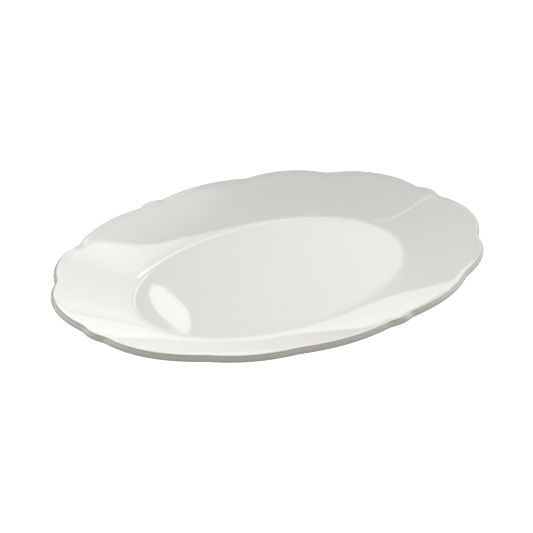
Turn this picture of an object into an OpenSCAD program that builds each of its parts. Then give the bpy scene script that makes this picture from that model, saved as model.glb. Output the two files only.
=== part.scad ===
// Oval porcelain serving platter: flat well, wide sloping border, scalloped
// rim and an unglazed oval foot ring. Millimetres, +Z up, +X along the length.
// The origin is in the table plane, under the middle of the platter.
//
// A section of the platter runs outwards in plan from the oval well edge.
// x is the distance along it: 0 at the well edge, border_w(a) at the oval that
// joins the notches, and the section's reach at the rim's outer edge. The angle
// a is the oval's eccentric angle, 0 at the +X end.

/* [Platter] */
// Length over the end lobes
platter_len = 360; // [320:5:400]
// Width over the side lobes
platter_wid = 280; // [250:5:310]
// Fullness of the oval: 2 is an ellipse, more is squarer
fullness = 2.05; // [2:0.05:2.3]
// Thickness of the well and of the border
wall_t = 4.5; // [3.5:0.5:5]

/* [Well] */
// Depth of the well below the rim at a notch
well_depth = 15.5; // [11:0.5:19]
// Width of the border at the two ends
end_border = 60; // [54:1:66]
// Width of the border at the two long sides
side_border = 61; // [54:1:66]
// Width of the curved rise next to the well
bend_w = 14; // [12:1:18]
// Sharpness of the bend at the well edge, as a share of the border
bend_soft = 0.11; // [0.03:0.01:0.12]
// Hollowness of the border, from a straight slope to a bowl
border_cup = 0.2; // [0:0.05:0.5]

/* [Scallops] */
// Angle of the notches beside each end lobe
end_notch = 4.6; // [3.6:0.2:8]
// Angle of the notches on the shoulders
shoulder_notch = 36.4; // [32:0.2:40]
// Angle of the notches on the flanks
flank_notch = 60.8; // [56:0.2:66]
// Angle of the notches beside each side lobe
side_notch = 86.6; // [84:0.2:87]
// How far each small end lobe stands out
end_rise = 2.5; // [1:0.1:5]
// How far each lobe beside an end lobe stands out
shoulder_rise = 4.5; // [2:0.1:6]
// How far each diagonal lobe stands out
diagonal_rise = 3.8; // [2:0.1:6]
// How far each lobe beside a side lobe stands out
flank_rise = 2.6; // [2:0.1:6]
// How far each small side lobe stands out
side_rise = 2.4; // [1:0.1:4]
// Length over which a notch is rounded
notch_round = 3; // [2:0.5:4]

/* [Rim] */
// Width of the bead at the rim
bead_w = 7; // [6:0.5:9]
// Thickness of the bead
bead_t = 5.2; // [5.2:0.1:7]
// How far the bead stands above the border
bead_raise = 0.4; // [0:0.1:0.8]
// Radius of the bead's upper edge
bead_top_r = 2.5; // [1:0.1:2.5]
// Radius of the bead's lower edge
bead_low_r = 2.5; // [1:0.1:2.5]

/* [Foot] */
// Height of the foot ring
foot_h = 4.5; // [3:0.5:7]
// Width of the foot ring
foot_w = 5; // [4:0.5:7]
// Distance from the well edge in to the foot ring
foot_inset = 2.5; // [1:0.5:6]

/* [Hidden] */

PORCELAIN = "#F1F1EC";
BISCUIT = "#E6E0D3";

// Steps along a large lobe, along a small lobe, and around each bead edge.
LOBE_STEPS = 10;
SMALL_STEPS = 4;
EDGE_STEPS = 4;
// [face, back] steps across the bend and across the border.
BEND_STEPS = [5, 3];
BORDER_STEPS = [6, 4];
// Above 1, crowds the bend's steps towards the well edge, where it curves most.
BEND_CROWD = 1.4;
// How far a cutter passes the faces that it cuts.
CLEAR = 1;

floor_z = foot_h + wall_t;
notch_len = platter_len / 2 - end_rise;
notch_wid = platter_wid / 2 - side_rise;
well_len = notch_len - end_border;
well_wid = notch_wid - side_border;

// ---- plan of the platter ----

function swell(c) = sign(c) * pow(abs(c), 2 / fullness);
function oval(len, wid, a) = [len * swell(cos(a)), wid * swell(sin(a))];
function well_edge(a) = oval(well_len, well_wid, a);
function notch_line(a) = oval(notch_len, notch_wid, a);
function border_w(a) = norm(notch_line(a) - well_edge(a));
function outwards(a) = (notch_line(a) - well_edge(a)) / border_w(a);

// The notches of one quarter, and of the whole rim by symmetry.
QUARTER = [end_notch, shoulder_notch, flank_notch, side_notch];
HALF = concat(QUARTER, [for (i = [3:-1:0]) 180 - QUARTER[i]]);
NOTCHES = concat(HALF, [for (a = HALF) a + 180], [end_notch + 360]);

// What each lobe of half the rim stands out, from the notch after the end lobe.
RISES = [shoulder_rise, diagonal_rise, flank_rise, side_rise,
         flank_rise, diagonal_rise, shoulder_rise, end_rise];
function is_small(lobe) = lobe % 4 == 3;

// A lobe is a parabola between its notches, rounded where it meets them.
function rounded(q, soft) = (sqrt(q * q + soft * soft) - soft) / (sqrt(1 + soft * soft) - soft);
function lobe_len(lobe) = norm(notch_line(NOTCHES[lobe + 1]) - notch_line(NOTCHES[lobe]));
function proud(lobe, s) = RISES[lobe % 8] * rounded(4 * s * (1 - s), 4 * notch_round / lobe_len(lobe));

// One [angle, reach] for each section round the rim, closest at the notches.
function lobe_sections(lobe) =
    let (steps = is_small(lobe) ? SMALL_STEPS : LOBE_STEPS)
    [for (k = [0:steps - 1])
        let (s = (1 - cos(180 * k / steps)) / 2,
             a = NOTCHES[lobe] + s * (NOTCHES[lobe + 1] - NOTCHES[lobe]))
        [a, border_w(a) + proud(lobe, s)]];
SECTIONS = [for (lobe = [0:15]) each lobe_sections(lobe)];

// ---- height of the platter's face and back ----

bend_scale = (1 - border_cup) / (sqrt(1 + bend_soft * bend_soft) - bend_soft);
function climb(t) = bend_scale * (sqrt(t * t + bend_soft * bend_soft) - bend_soft) + border_cup * t * t;
function climb_rate(t) = bend_scale * t / sqrt(t * t + bend_soft * bend_soft) + 2 * border_cup * t;
function face_z(a, x) = floor_z + well_depth * climb(x / border_w(a));
function back_z(a, x) = face_z(a, x) - wall_t;
function face_tilt(a, x) = atan(well_depth * climb_rate(x / border_w(a)) / border_w(a));

function place(a, x, z) =
    let (p = well_edge(a) + outwards(a) * x)
    [p.x, p.y, z];

// ---- rings swept round the platter ----

// A closed ring through one outline for each section. Every outline has the
// same number of points, running out over the face and back underneath.
module ring(outlines) {
    n = len(outlines);
    m = len(outlines[0]);
    function id(j, i) = (j % n) * m + i % m;
    polyhedron(
        points = [for (outline = outlines) each outline],
        faces = [for (j = [0:n - 1], i = [0:m - 1]) each [
            [id(j, i), id(j + 1, i), id(j + 1, i + 1)],
            [id(j, i), id(j + 1, i + 1), id(j, i + 1)]]],
        convexity = 6);
}

// A band of the wall from x0 to x1, with [face, back] steps.
function band(a, x0, x1, steps, crowd = 1) = concat(
    [for (k = [0:steps[0]])
        let (x = x0 + (x1 - x0) * pow(k / steps[0], crowd))
        place(a, x, face_z(a, x))],
    [for (k = [steps[1]:-1:0])
        let (x = x0 + (x1 - x0) * pow(k / steps[1], crowd))
        place(a, x, back_z(a, x))]);

// The bead: border face, raised crest, rounded outer edge, and back to the border.
function bead(a, out) =
    let (
        x0 = out - bead_w,
        x_mid = x0 + (out - 2 * bead_top_r - x0) / 2,
        x_top = out - 2 * bead_top_r,
        tilt = face_tilt(a, x_top),
        x_tangent = out - bead_top_r * (1 + sin(tilt)),
        z_top = face_z(a, x_tangent) + bead_raise - bead_top_r * cos(tilt),
        z_low = z_top + bead_top_r - bead_t + bead_low_r)
    concat(
        [place(a, x0, face_z(a, x0)),
         place(a, x_mid, face_z(a, x_mid) + bead_raise / 2),
         place(a, x_top, face_z(a, x_top) + bead_raise)],
        [for (k = [0:EDGE_STEPS])
            let (turn = (90 + tilt) * (1 - k / EDGE_STEPS))
            place(a, out - bead_top_r * (1 - cos(turn)), z_top + bead_top_r * sin(turn))],
        [for (k = [0:EDGE_STEPS])
            let (turn = -90 * k / EDGE_STEPS)
            place(a, out - bead_low_r * (1 - cos(turn)), z_low + bead_low_r * sin(turn))],
        [place(a, x0, back_z(a, x0))]);

// ---- the pieces ----

// Flat bottom of the dish.
module well_floor() {
    color(PORCELAIN)
        translate([0, 0, foot_h])
            linear_extrude(wall_t)
                polygon([for (s = SECTIONS) well_edge(s[0])]);
}

// Curved rise from the well up to the border.
module well_bend() {
    color(PORCELAIN)
        ring([for (s = SECTIONS) band(s[0], 0, bend_w, BEND_STEPS, BEND_CROWD)]);
}

// Wide sloping border.
module border() {
    color(PORCELAIN)
        ring([for (s = SECTIONS) band(s[0], bend_w, s[1] - bead_w, BORDER_STEPS)]);
}

// Thickened bead that follows the scallops.
module rim_bead() {
    color(PORCELAIN)
        ring([for (s = SECTIONS) bead(s[0], s[1])]);
}

// Unglazed ring that the platter stands on.
module foot_ring() {
    module oval_block(inset, h) {
        linear_extrude(h)
            polygon([for (s = SECTIONS) well_edge(s[0]) - outwards(s[0]) * inset]);
    }
    color(BISCUIT)
        difference() {
            oval_block(foot_inset, foot_h);
            translate([0, 0, -CLEAR])
                oval_block(foot_inset + foot_w, foot_h + 2 * CLEAR);
        }
}

well_floor();
well_bend();
border();
rim_bead();
foot_ring();
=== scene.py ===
"""Oval porcelain serving platter: the glazed body, its bare foot, and a plain studio."""

import math

import bmesh
import bpy
from mathutils import Matrix, Quaternion, Vector


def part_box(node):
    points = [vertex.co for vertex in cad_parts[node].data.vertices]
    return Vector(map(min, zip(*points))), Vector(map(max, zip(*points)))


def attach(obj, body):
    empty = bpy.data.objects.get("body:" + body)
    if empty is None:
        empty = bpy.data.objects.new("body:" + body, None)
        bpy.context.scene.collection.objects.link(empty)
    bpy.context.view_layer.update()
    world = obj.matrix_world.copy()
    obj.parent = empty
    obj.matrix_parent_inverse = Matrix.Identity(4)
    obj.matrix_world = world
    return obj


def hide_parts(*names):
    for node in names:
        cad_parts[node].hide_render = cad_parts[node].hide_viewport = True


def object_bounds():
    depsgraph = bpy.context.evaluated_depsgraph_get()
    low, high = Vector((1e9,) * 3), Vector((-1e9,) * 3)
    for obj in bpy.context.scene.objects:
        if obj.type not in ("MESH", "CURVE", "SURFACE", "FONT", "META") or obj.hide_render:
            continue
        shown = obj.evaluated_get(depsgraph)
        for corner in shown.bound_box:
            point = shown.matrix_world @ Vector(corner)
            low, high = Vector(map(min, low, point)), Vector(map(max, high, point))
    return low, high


bl_info = {
    "name": "Scalloped Porcelain Platter",
    "version": (1, 0, 0),
    "blender": (4, 5, 0),
    "location": "3D View > Sidebar > Platter",
    "description": "Builds an oval glazed platter with a scalloped rim and its studio",
    "category": "Add Mesh",
}

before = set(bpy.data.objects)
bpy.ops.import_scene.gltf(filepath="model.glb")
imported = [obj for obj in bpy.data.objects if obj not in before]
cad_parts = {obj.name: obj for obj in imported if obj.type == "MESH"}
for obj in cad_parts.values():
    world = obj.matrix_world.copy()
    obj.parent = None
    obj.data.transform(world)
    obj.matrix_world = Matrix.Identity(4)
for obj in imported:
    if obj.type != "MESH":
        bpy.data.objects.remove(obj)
CAD_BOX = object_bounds()
MM = 0.001

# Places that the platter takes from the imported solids.
WELL_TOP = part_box("well_floor")[1]
FOOT_LOW, FOOT_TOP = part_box("foot_ring")

# Sections along each large and each small lobe.
BODY_SECTIONS = (30, 12)
FOOT_SECTIONS = (24, 8)

# Steps of a section across each part of the platter.
WELL_STEPS = 24
BORDER_STEPS = 52
BEAD_TOP_STEPS = 6
CREST_STEPS = 8
BEAD_EDGE_STEPS = 14
BEAD_RETURN_STEPS = 6
BACK_STEPS = 30
FILLET_STEPS = 6
CORNER_STEPS = 5
UNDER_STEPS = 16
# Above 1, crowds the border's steps towards the well edge, where it bends most.
BORDER_CROWD = 1.5
# How far to either side the border's slope is measured.
TILT_STEP = 0.1 * MM

# Where the glaze pools: the middle and spread of the pool in the bend, the strength and spread of
# the one beside the bead, and the strength of the one under the bead.
BEND_POOL = 3 * MM
BEND_POOL_SPREAD = 5 * MM
BEAD_POOL = 0.8
BEAD_POOL_SPREAD = 2.5 * MM
RETURN_POOL = 0.3

# Where the glaze draws thin, with painted shade on the bead: evenly over the bead's outer face,
# which is darkened as its painted shade, and more in a line where it turns under, a painted
# shadow line.
FACE_THIN_AND_SHADE = 0.4
UNDER_LINE_THIN_AND_SHADE = 0.6
UNDER_LINE_TURN = math.radians(-30)
UNDER_LINE_SPREAD = math.radians(14)

# How strongly pooled glaze, and thin glaze with the bead's painted shade, colour the body.
POOL_TINT = 0.12
THIN_AND_SHADE_TINT = 0.85

# The foot ring: the hollow where it meets the well, how far its walls lean in at the glaze's edge
# and at the end of the glaze, and the height of that edge.
FOOT_FILLET = 1.4 * MM
FOOT_LEAN = 0.3 * MM
FOOT_END_LEAN = 0.45 * MM
GLAZE_EDGE = 0.4 * MM
# The glaze pools in that hollow, and draws thin as it ends.
FILLET_POOL = 0.9
EDGE_POOL = 0.2
EDGE_THIN = 0.5

# The bare band: its rounded corners, its gap inside the glaze, and how far it runs up in the foot.
BARE_CORNER = 0.6 * MM
BARE_GAP = 0.3 * MM
BARE_ROOT = 0.5 * MM

# How far apart the clouds in the clay and the slow and fine waves in the glaze are, and how high
# the waves stand.
CLOUDS = 70 * MM
SLOW_WAVES = 28 * MM
FINE_WAVES = 7 * MM
SLOW_WAVE_HEIGHT = 0.05 * MM
FINE_WAVE_HEIGHT = 0.006 * MM
GLAZE_IOR = 1.52

# Rubbed patches and grain of the bare band. The real grain is about 0.1 mm. It is drawn at 0.5 mm
# so that it shows.
RUBBED = 18 * MM
RUBBED_FROM, RUBBED_TO = 0.45, 0.7
GRAIN = 0.5 * MM
GRAIN_HEIGHT = 0.05 * MM
GRAIN_STRENGTH = 0.6
BISCUIT_IOR = 1.5
BISCUIT_ROUGHNESS = 0.78

# Numbers of a colour mix's sockets: its share, its first and second colour, and its result.
SHARE, FIRST, SECOND = 0, 6, 7
MIXED = 2

SENSOR_WIDTH = 36
FLOOR_RADIUS = 12
FLOOR_SIDES = 96
FLOOR_GLOW = 0.9
FLOOR_ROUGHNESS = 0.9

# The window's top edge falls towards the right: the turn where the fall starts, how far it goes on,
# and its slope. Angles in degrees.
LINTEL_START = 12
LINTEL_SPAN = 5
LINTEL_SLOPE = 1.1


# ---- settings ----


class PlatterForm(bpy.types.PropertyGroup):
    """Sizes of the platter's form."""

    fullness: bpy.props.FloatProperty(
        name="Fullness", description="2 is an ellipse, more is squarer", default=2.05)
    well_depth: bpy.props.FloatProperty(
        name="Well depth", description="Depth of the well below the rim at a notch",
        default=15.5 * MM, unit="LENGTH")
    bend_soft: bpy.props.FloatProperty(
        name="Bend softness", description="Sharpness of the bend as a share of the border", default=0.11)
    border_cup: bpy.props.FloatProperty(
        name="Border cup", description="Hollowness of the border", default=0.2)
    wall: bpy.props.FloatProperty(
        name="Wall", description="Thickness of the well and the border", default=4.5 * MM, unit="LENGTH")
    notches: bpy.props.FloatVectorProperty(
        name="Notches", description="Angles of one quarter's notches, in degrees",
        size=4, default=(4.6, 36.4, 60.8, 86.6))
    end_rise: bpy.props.FloatProperty(
        name="End lobe", description="How far each end lobe stands out", default=2.5 * MM, unit="LENGTH")
    side_rise: bpy.props.FloatProperty(
        name="Side lobe", description="How far each side lobe stands out", default=2.4 * MM, unit="LENGTH")
    rises: bpy.props.FloatVectorProperty(
        name="Large lobes", description="How far the shoulder, diagonal and flank lobes stand out",
        size=3, default=(4.5 * MM, 3.8 * MM, 2.6 * MM), unit="LENGTH")
    lobe_hollow: bpy.props.FloatProperty(
        name="Lobe hollow", description="How far each lobe's middle is pressed down at the rim",
        default=0.25 * MM, unit="LENGTH")
    full_lobe: bpy.props.FloatProperty(
        name="Full lobe", description="Length from which a lobe is pressed fully hollow",
        default=60 * MM, unit="LENGTH")
    notch_round: bpy.props.FloatProperty(
        name="Notch rounding", description="Length over which a notch is rounded",
        default=3 * MM, unit="LENGTH")
    bead_width: bpy.props.FloatProperty(
        name="Bead width", description="Width of the bead at the rim", default=7 * MM, unit="LENGTH")
    bead_thick: bpy.props.FloatProperty(
        name="Bead thickness", description="Thickness of the bead", default=5.2 * MM, unit="LENGTH")
    bead_raise: bpy.props.FloatProperty(
        name="Bead raise", description="How far the bead stands above the border",
        default=0.4 * MM, unit="LENGTH")
    bead_radius: bpy.props.FloatProperty(
        name="Bead radius", description="Radius of the bead's underside", default=2.5 * MM, unit="LENGTH")
    crest_radius: bpy.props.FloatProperty(
        name="Crest radius", description="Radius of the bead's crest", default=0.7 * MM, unit="LENGTH")
    face_slant: bpy.props.FloatProperty(
        name="Face slant", description="Lean of the bead's outer face from upright",
        default=math.radians(30), subtype="ANGLE")
    foot_width: bpy.props.FloatProperty(
        name="Foot width", description="Width of the foot ring", default=5 * MM, unit="LENGTH")
    foot_inset: bpy.props.FloatProperty(
        name="Foot inset", description="Distance from the well edge in to the foot ring",
        default=2.5 * MM, unit="LENGTH")
    foot_bare: bpy.props.FloatProperty(
        name="Bare foot", description="Height of the band at the foot that is wiped bare of glaze",
        default=1 * MM, unit="LENGTH")
    glaze: bpy.props.FloatProperty(
        name="Glaze", description="Thickness of the glaze where it stops at the foot",
        default=0.2 * MM, unit="LENGTH")


class PlatterFinish(bpy.types.PropertyGroup):
    """Colours of the platter's finishes, as sRGB hex values."""

    body_white: bpy.props.StringProperty(
        name="Porcelain", description="White porcelain seen through clear glaze", default="F2F1ED")
    body_cloud: bpy.props.StringProperty(
        name="Porcelain cloud", description="Slightly greyer patches of the body", default="EEEDE8")
    pooled_glaze: bpy.props.StringProperty(
        name="Pooled glaze", description="Cooler tone where the glaze lies thick", default="E3E6DF")
    # Thin glaze brown, also the colour of the painted shade on the lip's face, crest and underside.
    thin_glaze_and_lip_shade: bpy.props.StringProperty(
        name="Thin glaze", description="Warmer grey where the glaze drew thin on an edge", default="A2967E")
    biscuit: bpy.props.StringProperty(
        name="Biscuit", description="Bare fired porcelain", default="E7E1D5")
    biscuit_rubbed: bpy.props.StringProperty(
        name="Rubbed biscuit", description="Biscuit greyed by table tops", default="CFC8BB")
    gloss: bpy.props.FloatProperty(
        name="Glaze roughness", description="Roughness of the fired glaze", default=0.03)


class PlatterStudio(bpy.types.PropertyGroup):
    """Camera and lights."""

    azimuth: bpy.props.FloatProperty(
        name="Azimuth", description="Turn of the platter's length from the camera's right",
        default=math.radians(44.0), subtype="ANGLE")
    elevation: bpy.props.FloatProperty(
        name="Elevation", description="Camera's height above the horizon",
        default=math.radians(26.21), subtype="ANGLE")
    distance: bpy.props.FloatProperty(
        name="Distance", description="Camera to its aim", default=2.001, unit="LENGTH")
    aim: bpy.props.FloatVectorProperty(
        name="Aim", description="Point that the camera looks at",
        default=(-4.4 * MM, 0, 17.8 * MM), unit="LENGTH", subtype="XYZ")
    lens: bpy.props.FloatProperty(
        name="Lens", description="Focal length in millimetres on a 36 mm sensor", default=178.8)
    floor_white: bpy.props.StringProperty(
        name="Floor", description="Colour of the floor", default="FFFFFF")
    ambient: bpy.props.FloatProperty(
        name="Ambient", description="Brightness of the room around the platter", default=0.48)
    below: bpy.props.FloatProperty(
        name="Table", description="Brightness of the table below the platter", default=0.45)
    window: bpy.props.FloatProperty(
        name="Window", description="Brightness of the window wall behind the platter", default=1.5)
    window_low: bpy.props.FloatProperty(
        name="Window sill", description="Brightness of the lowest part of the window", default=0.55)
    window_top: bpy.props.FloatProperty(
        name="Window top", description="Brightness that the upper part of the window adds", default=0.9)
    haze: bpy.props.FloatProperty(
        name="Haze", description="Brightness of the lit wall above the window", default=1.2)
    window_right: bpy.props.FloatProperty(
        name="Side window", description="Brightness of the window wall to the right", default=1.08)
    wall_left: bpy.props.FloatProperty(
        name="Left wall", description="Brightness of the wall to the left", default=1.1)
    key: bpy.props.FloatProperty(
        name="Key", description="Brightness of the high key softbox", default=1.6)
    back: bpy.props.FloatProperty(
        name="Low backdrop", description="Brightness of the low card behind the platter", default=0.7)
    strip: bpy.props.FloatProperty(
        name="High strips", description="Brightness of the long strips behind the platter", default=2.4)
    glint: bpy.props.FloatProperty(
        name="Glint", description="Brightness of the card that the well mirrors", default=1.5)


# ---- the platter's form ----


def swell(c, fullness):
    """Cosine or sine of a full oval."""
    return math.copysign(abs(c) ** (2 / fullness), c)


def oval(length, width, angle, fullness):
    """A point of a full oval, given its half length and half width."""
    return Vector((length * swell(math.cos(angle), fullness), width * swell(math.sin(angle), fullness)))


def rounded(q, soft):
    """A rise from 0 to 1 whose start is rounded over soft."""
    return (math.sqrt(q * q + soft * soft) - soft) / (math.sqrt(1 + soft * soft) - soft)


def smooth(t):
    """Smooth step from 0 to 1."""
    t = min(max(t, 0), 1)
    return t * t * (3 - 2 * t)


def spread(count, crowd=1.0):
    """Shares from 0 to 1, crowded towards 0 when crowd is over 1."""
    return [(k / count) ** crowd for k in range(count + 1)]


class Section:
    """One upright section of the platter, running out from the well edge."""

    def __init__(self, form, angle, proud, middle):
        half_len, half_wid = CAD_BOX[1].x - form.end_rise, CAD_BOX[1].y - form.side_rise
        self.form = form
        self.edge = oval(WELL_TOP.x, WELL_TOP.y, angle, form.fullness)
        step = oval(half_len, half_wid, angle, form.fullness) - self.edge
        self.width = step.length
        self.out = step.normalized()
        self.reach = self.width + proud
        self.middle = middle

    def climb(self, x):
        """Height of the border's face over the well at distance x."""
        form, t = self.form, x / self.width
        soft = form.bend_soft
        slope = (1 - form.border_cup) / (math.sqrt(1 + soft * soft) - soft)
        rise = slope * (math.sqrt(t * t + soft * soft) - soft) + form.border_cup * t * t
        return form.well_depth * rise

    def tilt(self, x):
        """Slope angle of the border's face at distance x."""
        rise = self.climb(x + TILT_STEP) - self.climb(x - TILT_STEP)
        return math.atan2(rise, 2 * TILT_STEP)

    def face(self, x):
        """Height of the face, with each lobe pressed a little hollow towards the rim."""
        hollow = self.form.lobe_hollow * self.middle * smooth(x / self.width)
        return WELL_TOP.z + self.climb(x) - hollow

    def back(self, x):
        """Height of the back at distance x."""
        return self.face(x) - self.form.wall

    def place(self, x, z, share=1.0):
        """The point at distance x and height z, drawn in to share of its place."""
        p = (self.edge + self.out * x) * share
        return Vector((p.x, p.y, z))


def arc_point(x, z, radius, turn):
    """Distance and height of a point on an arc about (x, z)."""
    return x + radius * math.cos(turn), z + radius * math.sin(turn)


def lobe_angles(form):
    """(start, end, rise, is small) of each lobe round the rim."""
    quarter = [math.radians(a) for a in form.notches]
    half = quarter + [math.pi - a for a in reversed(quarter)]
    notches = half + [a + math.pi for a in half] + [quarter[0] + 2 * math.pi]
    rises = [*form.rises, form.side_rise, *reversed(form.rises), form.end_rise]
    small_every = len(quarter)
    return [(notches[i], notches[i + 1], rises[i % len(rises)], (i + 1) % small_every == 0)
            for i in range(len(notches) - 1)]


def sections(form, large_steps, small_steps):
    """The sections round the platter, closest together at the notches."""
    made = []
    half_len, half_wid = CAD_BOX[1].x - form.end_rise, CAD_BOX[1].y - form.side_rise
    for start, end, rise, small in lobe_angles(form):
        chord = (oval(half_len, half_wid, end, form.fullness)
                 - oval(half_len, half_wid, start, form.fullness)).length
        steps = small_steps if small else large_steps
        for k in range(steps):
            s = (1 - math.cos(math.pi * k / steps)) / 2
            proud = rise * rounded(4 * s * (1 - s), 4 * form.notch_round / chord)
            middle = math.sin(math.pi * s) ** 2 * min(chord / form.full_lobe, 1)
            made.append(Section(form, start + s * (end - start), proud, middle))
    return made


def well_profile(section):
    """Face of the well from near its middle out to its edge: (point, glaze pool, thin glaze)."""
    return [(section.place(0, WELL_TOP.z, k), 0.0, 0.0) for k in spread(WELL_STEPS)[1:-1]]


def border_profile(section):
    """Face from the well edge to the bead. The glaze pools in the bend and beside the bead."""
    form, points = section.form, []
    start = section.reach - form.bead_width
    for t in spread(BORDER_STEPS, BORDER_CROWD):
        x = t * start
        pool = math.exp(-((x - BEND_POOL) / BEND_POOL_SPREAD) ** 2)
        pool += BEAD_POOL * math.exp(-((start - x) / BEAD_POOL_SPREAD) ** 2)
        points.append((section.place(x, section.face(x)), min(pool, 1), 0.0))
    return points


def bead_profile(section):
    """The raised bead: a narrow crest, a slanted outer face, a round underside, and its return to
    the back. The glaze draws thin on the crest and where the face turns under, and these marks
    also paint shade: a dark crest line, a darker outer face and a shadow line under the lip."""
    form, out, r = section.form, section.reach, section.form.bead_radius
    start, top = out - form.bead_width, out - 2 * r
    tilt = section.tilt(top)
    tangent = out - r * (1 + math.sin(tilt))
    high = section.face(tangent) + form.bead_raise - r * math.cos(tilt)
    low = high + 2 * r - form.bead_thick
    crest, slant = form.crest_radius, form.face_slant
    # The crest's arc touches both the bead's top and the slanted face.
    crest_z = high + r - crest
    crest_x = out - (crest_z - low) * math.tan(slant) - crest / math.cos(slant)
    under_x = out - r
    points = []
    for t in spread(BEAD_TOP_STEPS)[1:]:
        x = start + t * (crest_x - crest * math.sin(tilt) - start)
        z = section.face(x) + form.bead_raise * smooth(t)
        points.append((section.place(x, z), BEAD_POOL * (1 - t), 0.0))
    for t in spread(CREST_STEPS):
        turn = math.pi / 2 + tilt - t * (math.pi / 2 + tilt - slant)
        # The crest darkens mid-arc, thin glaze that also paints a shade line, then fades into the outer
        # face's painted shade.
        thin = max(4 * t * (1 - t), FACE_THIN_AND_SHADE * t)
        points.append((section.place(*arc_point(crest_x, crest_z, crest, turn)), 0.0, thin))
    for t in spread(BEAD_EDGE_STEPS):
        turn = slant - t * (math.pi / 2 + slant)
        # Painted shade over the outer face, and a painted shadow line where it turns under.
        line = math.exp(-((turn - UNDER_LINE_TURN) / UNDER_LINE_SPREAD) ** 2)
        thin = FACE_THIN_AND_SHADE * smooth(1 + turn) + UNDER_LINE_THIN_AND_SHADE * line
        points.append((section.place(*arc_point(under_x, low, r, turn)), 0.0, thin))
    for t in spread(BEAD_RETURN_STEPS)[1:]:
        x = under_x - t * (form.bead_width - r)
        z = (1 - smooth(t)) * (low - r) + smooth(t) * section.back(x)
        points.append((section.place(x, z), RETURN_POOL, 0.0))
    return points


def back_profile(section):
    """The back from the bead in to the foot ring."""
    start = section.reach - section.form.bead_width
    steps = [start * (1 - t) for t in spread(BACK_STEPS)[1:]]
    return [(section.place(x, section.back(x)), 0.0, 0.0) for x in steps]


def foot_profile(section):
    """The foot ring's glazed walls, with a hollow at the top and a flat just above the table."""
    form = section.form
    outer, inner = -form.foot_inset, -form.foot_inset - form.foot_width
    low = FOOT_LOW.z + form.foot_bare
    points = []
    for side, wall in ((1, outer), (-1, inner)):
        arc = []
        for t in spread(FILLET_STEPS):
            turn = t * math.pi / 2
            x = wall + side * FOOT_FILLET * (1 - math.sin(turn))
            z = FOOT_TOP.z - FOOT_FILLET * (1 - math.cos(turn))
            arc.append((section.place(x, z), FILLET_POOL, 0.0))
        edge = section.place(wall - side * FOOT_LEAN, low + GLAZE_EDGE)
        arc.append((edge, EDGE_POOL, EDGE_THIN))
        arc.append((section.place(wall - side * FOOT_END_LEAN, low), 0.0, 1.0))
        points += arc if side == 1 else reversed(arc)
    return points


def under_profile(section):
    """The underside from the foot ring to near the middle."""
    form = section.form
    inner = -form.foot_inset - form.foot_width
    steps = reversed(spread(UNDER_STEPS)[1:-1])
    return [(section.place(inner, FOOT_TOP.z, k), 0.0, 0.0) for k in steps]


def sweep(name, outlines, hub_tops=None):
    """A closed smooth mesh through the outlines. Open outlines end in the two hub points."""
    mesh = bpy.data.meshes.new(name)
    bm = bmesh.new()
    pool = bm.verts.layers.float.new("glaze_pool")
    # Thin glaze at the foot's edge, and painted shade on the bead's crest, face and underside.
    thin = bm.verts.layers.float.new("glaze_thin_and_lip_shade")
    rows = []
    for outline in outlines:
        row = []
        for point, pooled, thinned_and_shaded in outline:
            vert = bm.verts.new(point)
            vert[pool], vert[thin] = pooled, thinned_and_shaded
            row.append(vert)
        rows.append(row)
    closed = hub_tops is None
    hubs = [] if closed else [bm.verts.new(p) for p in hub_tops]
    last = len(rows[0]) if closed else len(rows[0]) - 1
    for j, row in enumerate(rows):
        after = rows[(j + 1) % len(rows)]
        for i in range(last):
            i2 = (i + 1) % len(row)
            bm.faces.new((row[i], row[i2], after[i2], after[i]))
        if hubs:
            bm.faces.new((hubs[0], row[0], after[0]))
            bm.faces.new((after[-1], row[-1], hubs[1]))
    for face in bm.faces:
        face.smooth = True
    bmesh.ops.recalc_face_normals(bm, faces=bm.faces)
    bm.to_mesh(mesh)
    bm.free()
    piece = bpy.data.objects.new(name, mesh)
    bpy.context.scene.collection.objects.link(piece)
    return piece


# ---- materials ----


def linear(hex_value):
    """Linear RGBA of an sRGB hex value."""
    parts = [int(hex_value[i:i + 2], 16) / 255 for i in (0, 2, 4)]
    return (*[c / 12.92 if c <= 0.04045 else ((c + 0.055) / 1.055) ** 2.4 for c in parts], 1.0)


def node(tree, kind, settings=None):
    """Adds a node. Settings name or number its sockets, or name its properties. A socket gets a
    value, or a link from another node's socket."""
    made = tree.nodes.new(kind)
    for key, value in (settings or {}).items():
        if isinstance(value, bpy.types.NodeSocket):
            tree.links.new(value, made.inputs[key])
        elif isinstance(key, int) or key in made.inputs:
            made.inputs[key].default_value = value
        else:
            setattr(made, key, value)
    return made


def empty_material(name):
    """A node material with nothing in it, and its tree."""
    material = bpy.data.materials.new(name)
    material.use_nodes = True
    material.node_tree.nodes.clear()
    return material, material.node_tree


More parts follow.
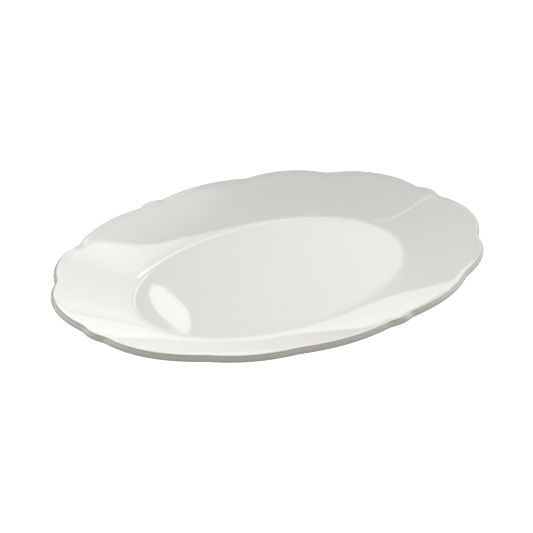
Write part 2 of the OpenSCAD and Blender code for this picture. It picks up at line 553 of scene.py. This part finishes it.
def glazed_porcelain(finish):
    """Clear fired glaze over white porcelain: a hard mirror gloss on a bright, barely warm white,
    with slow waves from the molten glaze, a cooler tone where it lies thick, and a browner one
    where it drew thin on the lip, which also paints the lip's shade: a darker outer face and
    dark lines along its crest and under it."""
    material, tree = empty_material("glazed_porcelain")
    place = node(tree, "ShaderNodeTexCoord").outputs["Object"]
    clouds = node(tree, "ShaderNodeTexNoise", {"Vector": place, "Scale": 1 / CLOUDS, "Detail": 3.0})
    body = node(tree, "ShaderNodeMix", {
        "data_type": "RGBA", SHARE: clouds.outputs["Fac"],
        FIRST: linear(finish.body_white), SECOND: linear(finish.body_cloud)})
    pool = node(tree, "ShaderNodeAttribute", {"attribute_name": "glaze_pool"})
    depth = node(tree, "ShaderNodeMath", {"operation": "MULTIPLY", 0: pool.outputs["Fac"], 1: POOL_TINT})
    pooled = node(tree, "ShaderNodeMix", {
        "data_type": "RGBA", SHARE: depth.outputs[0],
        FIRST: body.outputs[MIXED], SECOND: linear(finish.pooled_glaze)})
    thin = node(tree, "ShaderNodeAttribute", {"attribute_name": "glaze_thin_and_lip_shade"})
    # Share of thin glaze brown, which on the bead is painted shade.
    bare = node(tree, "ShaderNodeMath", {"operation": "MULTIPLY", 0: thin.outputs["Fac"], 1: THIN_AND_SHADE_TINT})
    colour = node(tree, "ShaderNodeMix", {
        "data_type": "RGBA", SHARE: bare.outputs[0],
        FIRST: pooled.outputs[MIXED], SECOND: linear(finish.thin_glaze_and_lip_shade)})
    waves = node(tree, "ShaderNodeTexNoise", {"Vector": place, "Scale": 1 / SLOW_WAVES, "Detail": 1.0})
    skin = node(tree, "ShaderNodeTexNoise", {"Vector": place, "Scale": 1 / FINE_WAVES, "Detail": 2.0})
    slow = node(tree, "ShaderNodeBump", {
        "Strength": 1.0, "Distance": SLOW_WAVE_HEIGHT, "Height": waves.outputs["Fac"]})
    fine = node(tree, "ShaderNodeBump", {
        "Strength": 1.0, "Distance": FINE_WAVE_HEIGHT, "Height": skin.outputs["Fac"],
        "Normal": slow.outputs["Normal"]})
    shader = node(tree, "ShaderNodeBsdfPrincipled", {
        "Base Color": colour.outputs[MIXED], "Roughness": finish.gloss, "IOR": GLAZE_IOR,
        "Normal": fine.outputs["Normal"]})
    node(tree, "ShaderNodeOutputMaterial", {"Surface": shader.outputs["BSDF"]})
    return material


def wiped_biscuit(finish):
    """Unglazed fired porcelain where the glaze was wiped off the foot: a dry, matt, fine-grained
    off-white, greyed in patches by table tops."""
    material, tree = empty_material("wiped_biscuit")
    place = node(tree, "ShaderNodeTexCoord").outputs["Object"]
    rub = node(tree, "ShaderNodeTexNoise", {"Vector": place, "Scale": 1 / RUBBED, "Detail": 4.0})
    worn = node(tree, "ShaderNodeMapRange", {
        "Value": rub.outputs["Fac"], "From Min": RUBBED_FROM, "From Max": RUBBED_TO})
    colour = node(tree, "ShaderNodeMix", {
        "data_type": "RGBA", SHARE: worn.outputs["Result"],
        FIRST: linear(finish.biscuit), SECOND: linear(finish.biscuit_rubbed)})
    grain = node(tree, "ShaderNodeTexNoise", {"Vector": place, "Scale": 1 / GRAIN, "Detail": 3.0})
    bump = node(tree, "ShaderNodeBump", {
        "Strength": GRAIN_STRENGTH, "Distance": GRAIN_HEIGHT, "Height": grain.outputs["Fac"]})
    shader = node(tree, "ShaderNodeBsdfPrincipled", {
        "Base Color": colour.outputs[MIXED], "Roughness": BISCUIT_ROUGHNESS, "IOR": BISCUIT_IOR,
        "Normal": bump.outputs["Normal"]})
    node(tree, "ShaderNodeOutputMaterial", {"Surface": shader.outputs["BSDF"]})
    return material


def pale_floor(studio):
    """Matt white paper sweep that glows a little, so that it stays pale all over."""
    material, tree = empty_material("pale_floor")
    white = linear(studio.floor_white)
    shader = node(tree, "ShaderNodeBsdfPrincipled", {
        "Base Color": white, "Roughness": FLOOR_ROUGHNESS,
        "Emission Color": white, "Emission Strength": FLOOR_GLOW})
    node(tree, "ShaderNodeOutputMaterial", {"Surface": shader.outputs["BSDF"]})
    return material


# ---- operators ----


class PLATTER_OT_body(bpy.types.Operator):
    """Builds the glazed porcelain body"""

    bl_idname = "platter.body"
    bl_label = "Glazed body"

    def execute(self, context):
        form = context.scene.platter_form
        outlines = []
        for s in sections(form, *BODY_SECTIONS):
            outlines.append(well_profile(s) + border_profile(s) + bead_profile(s) + back_profile(s)
                            + foot_profile(s) + under_profile(s))
        hubs = (Vector((0, 0, WELL_TOP.z)), Vector((0, 0, FOOT_TOP.z)))
        piece = sweep("glazed_body", outlines, hubs)
        piece.data.materials.append(glazed_porcelain(context.scene.platter_finish))
        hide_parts("well_floor", "well_bend", "border", "rim_bead")
        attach(piece, "root")
        return {"FINISHED"}


class PLATTER_OT_foot(bpy.types.Operator):
    """Builds the band of bare porcelain under the foot ring"""

    bl_idname = "platter.foot"
    bl_label = "Bare foot"

    def execute(self, context):
        form = context.scene.platter_form
        outer = -form.foot_inset - form.glaze - BARE_GAP
        inner = -form.foot_inset - form.foot_width + form.glaze + BARE_GAP
        high = FOOT_LOW.z + form.foot_bare + BARE_ROOT
        outlines = []
        for s in sections(form, *FOOT_SECTIONS):
            outline = [(s.place(outer, high), 0.0, 0.0)]
            for wall, side in ((outer, 1), (inner, -1)):
                arc = []
                for t in spread(CORNER_STEPS):
                    turn = t * math.pi / 2
                    x = wall - side * BARE_CORNER * (1 - math.cos(turn))
                    z = FOOT_LOW.z + BARE_CORNER * (1 - math.sin(turn))
                    arc.append((s.place(x, z), 0.0, 0.0))
                outline += arc if side == 1 else reversed(arc)
            outline.append((s.place(inner, high), 0.0, 0.0))
            outlines.append(outline)
        piece = sweep("bare_foot", outlines)
        piece.data.materials.append(wiped_biscuit(context.scene.platter_finish))
        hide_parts("foot_ring")
        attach(piece, "root")
        return {"FINISHED"}


def camera_axes(studio):
    """Right, up and back of the camera, in the platter's frame."""
    ca, sa = math.cos(studio.azimuth), math.sin(studio.azimuth)
    ce, se = math.cos(studio.elevation), math.sin(studio.elevation)
    return Vector((ca, -sa, 0)), Vector((se * sa, se * ca, ce)), Vector((-ce * sa, -ce * ca, se))


def toward(studio, turn, height):
    """Direction turned right from straight away from the camera, at a height angle, in degrees."""
    a, e = studio.azimuth + math.radians(turn), math.radians(height)
    return Vector((math.sin(a) * math.cos(e), math.cos(a) * math.cos(e), math.sin(e)))


def softbox(studio, name, turn, height, away, size, radiance,
            target=(0, 0, 0), roll=0.0, shape="RECTANGLE"):
    """A flat area light that faces the target, turned and raised in degrees and standing away from
    it in metres. Radiance sets its surface brightness."""
    light = bpy.data.lights.new(name, "AREA")
    light.shape = shape
    light.size, light.size_y = size
    light.energy = radiance * math.pi * size[0] * size[1]
    lamp = bpy.data.objects.new(name, light)
    direction = toward(studio, turn, height)
    lamp.location = Vector(target) + direction * away
    lamp.visible_camera = False
    lamp.rotation_mode = "QUATERNION"
    faces = direction.to_track_quat("Z", "Y")
    lamp.rotation_quaternion = faces @ Quaternion((0, 0, 1), math.radians(roll))
    bpy.context.scene.collection.objects.link(lamp)


def soft_edge(tree, angle, dark, bright):
    """A smooth rise from 0 to 1 as the angle goes from dark to bright, both in degrees."""
    low, high = sorted((math.radians(dark), math.radians(bright)))
    rise = node(tree, "ShaderNodeMapRange", {
        "interpolation_type": "SMOOTHSTEP", "Value": angle, "From Min": low, "From Max": high})
    if dark < bright:
        return rise.outputs["Result"]
    fall = node(tree, "ShaderNodeMath", {"operation": "SUBTRACT", 0: 1.0, 1: rise.outputs["Result"]})
    return fall.outputs[0]


class PLATTER_OT_stage(bpy.types.Operator):
    """Builds the floor, the lights and the camera"""

    bl_idname = "platter.stage"
    bl_label = "Studio"

    def execute(self, context):
        scene, studio = context.scene, context.scene.platter_studio
        scene.view_settings.view_transform = "Standard"
        self.camera(scene, studio)
        self.floor(studio)
        self.room(scene, studio)
        self.softboxes(studio)
        return {"FINISHED"}

    def softboxes(self, studio):
        """A key, a card behind the platter, a strip for the far bend, one for the far end's
        notches, and a small oval card that the left end of the well mirrors."""
        softbox(studio, "key_high", turn=45, height=45, away=2.2, size=(0.95, 0.95),
                radiance=studio.key)
        softbox(studio, "back_low", turn=1, height=-3, away=3, size=(0.78, 1.5),
                radiance=studio.back)
        softbox(studio, "far_strip", turn=3, height=33, away=2.6, size=(0.15, 0.07),
                radiance=studio.strip)
        softbox(studio, "end_strip", turn=-15, height=44.3, away=2.6, size=(0.6, 0.035),
                radiance=0.6 * studio.strip, target=(WELL_TOP.x, 0, WELL_TOP.z), roll=12)
        well_end = (-0.76 * WELL_TOP.x, 0.218 * WELL_TOP.y, WELL_TOP.z)
        softbox(studio, "well_glint", turn=-2.3, height=27.2, away=1.2, size=(0.0288, 0.069),
                radiance=studio.glint, target=well_end, roll=40.7, shape="ELLIPSE")

    def camera(self, scene, studio):
        """Looks along the platter's diagonal, from a little above."""
        right, up, back = camera_axes(studio)
        data = bpy.data.cameras.new("camera")
        data.lens, data.sensor_width = studio.lens, SENSOR_WIDTH
        camera = bpy.data.objects.new("camera", data)
        turn = Matrix((right, up, back)).transposed().to_4x4()
        stand = Vector(studio.aim) + back * studio.distance
        camera.matrix_world = Matrix.Translation(stand) @ turn
        scene.collection.objects.link(camera)
        scene.camera = camera

    def floor(self, studio):
        """A plain floor that takes no part in lighting the platter."""
        mesh = bpy.data.meshes.new("floor")
        bm = bmesh.new()
        bmesh.ops.create_circle(bm, cap_ends=True, segments=FLOOR_SIDES, radius=FLOOR_RADIUS)
        bm.to_mesh(mesh)
        bm.free()
        floor = bpy.data.objects.new("floor", mesh)
        floor.data.materials.append(pale_floor(studio))
        floor.visible_diffuse = False
        floor.visible_glossy = False
        floor.visible_shadow = False
        bpy.context.scene.collection.objects.link(floor)

    def room(self, scene, studio):
        """A white room to look at, and one with bright window walls to be lit by."""
        world = bpy.data.worlds.new("room")
        world.use_nodes = True
        tree = world.node_tree
        tree.nodes.clear()
        light = self.walls(tree, studio, *self.angles(tree, studio))
        white = (1, 1, 1, 1)
        lit = node(tree, "ShaderNodeBackground", {"Color": white, "Strength": light})
        seen = node(tree, "ShaderNodeBackground", {"Color": white, "Strength": 1.0})
        path = node(tree, "ShaderNodeLightPath")
        mix = node(tree, "ShaderNodeMixShader", {
            0: path.outputs["Is Camera Ray"], 1: lit.outputs["Background"], 2: seen.outputs["Background"]})
        node(tree, "ShaderNodeOutputWorld", {"Surface": mix.outputs["Shader"]})
        scene.world = world

    def angles(self, tree, studio):
        """Sockets of a direction's turn to the right of straight away from the camera, and of its
        height above the horizon."""
        sideways, _, back = camera_axes(studio)
        along = Vector((-back.x, -back.y, 0)).normalized()
        place = node(tree, "ShaderNodeTexCoord").outputs["Generated"]
        across = node(tree, "ShaderNodeVectorMath", {"operation": "DOT_PRODUCT", 0: place, 1: sideways})
        ahead = node(tree, "ShaderNodeVectorMath", {"operation": "DOT_PRODUCT", 0: place, 1: along})
        parts = node(tree, "ShaderNodeSeparateXYZ", {"Vector": place})
        turn = node(tree, "ShaderNodeMath", {
            "operation": "ARCTAN2", 0: across.outputs["Value"], 1: ahead.outputs["Value"]})
        height = node(tree, "ShaderNodeMath", {"operation": "ARCSINE", 0: parts.outputs["Z"]})
        return turn.outputs[0], height.outputs[0]

    def lintel(self, tree, turn, height):
        """Height above the horizon, raised where the window's top edge falls."""
        fall = turn
        for operation, value in (("SUBTRACT", math.radians(LINTEL_START)), ("MAXIMUM", 0.0),
                                 ("MINIMUM", math.radians(LINTEL_SPAN))):
            fall = node(tree, "ShaderNodeMath", {"operation": operation, 0: fall, 1: value}).outputs[0]
        raised = node(tree, "ShaderNodeMath", {
            "operation": "MULTIPLY_ADD", 0: fall, 1: LINTEL_SLOPE, 2: height})
        return raised.outputs[0]

    def walls(self, tree, studio, turn, height):
        """Light of the room: the sum of its walls, each with soft edges."""
        left, right = (turn, -7, 6), (turn, 60, 50)
        top = (self.lintel(tree, turn, height), 43, 41.5)
        # Each wall's brightness, and its edges: (angle, where it is dark, where it is fully bright).
        walls = (
            (studio.below, ((height, 2, -6),)),
            (studio.ambient, ((height, -6, 2),)),
            (studio.window, (left, right, (height, 8, 16), top)),
            (studio.window_low, (left, right, (height, -20, -14), (height, 16, 8))),
            (studio.window_top, ((turn, 8, 12), right, (height, 30, 36), top)),
            (studio.haze, ((turn, 11, 18), right, (height, 34, 38), (height, 58, 50))),
            (studio.window_right, ((turn, 50, 60), (turn, 95, 75), (height, -8, -2), (height, 43, 41.5))),
            (studio.wall_left, ((turn, -20, -30), (turn, -110, -90), (height, 0, 5), (height, 46, 40))),
        )
        light = 0.0
        for wall, edges in walls:
            for edge in edges:
                share = soft_edge(tree, *edge)
                wall = node(tree, "ShaderNodeMath", {"operation": "MULTIPLY", 0: wall, 1: share}).outputs[0]
            light = node(tree, "ShaderNodeMath", {"operation": "ADD", 0: light, 1: wall}).outputs[0]
        return light


class PLATTER_PT_sidebar(bpy.types.Panel):
    """Lists the platter's pieces"""

    bl_idname = "PLATTER_PT_sidebar"
    bl_label = "Porcelain Platter"
    bl_space_type = "VIEW_3D"
    bl_region_type = "UI"
    bl_category = "Platter"

    def draw(self, context):
        for operator in OPERATORS:
            self.layout.operator(operator.bl_idname)


OPERATORS = (PLATTER_OT_body, PLATTER_OT_foot, PLATTER_OT_stage)
GROUPS = {"platter_form": PlatterForm, "platter_finish": PlatterFinish, "platter_studio": PlatterStudio}
CLASSES = (*GROUPS.values(), *OPERATORS, PLATTER_PT_sidebar)


def register():
    for made in CLASSES:
        bpy.utils.register_class(made)
    for name, group in GROUPS.items():
        setattr(bpy.types.Scene, name, bpy.props.PointerProperty(type=group))


def unregister():
    for name in GROUPS:
        delattr(bpy.types.Scene, name)
    for made in reversed(CLASSES):
        bpy.utils.unregister_class(made)


def main():
    register()
    bpy.ops.platter.body()
    bpy.ops.platter.foot()
    bpy.ops.platter.stage()
    bpy.context.view_layer.update()


if __name__ == "__main__":
    main()
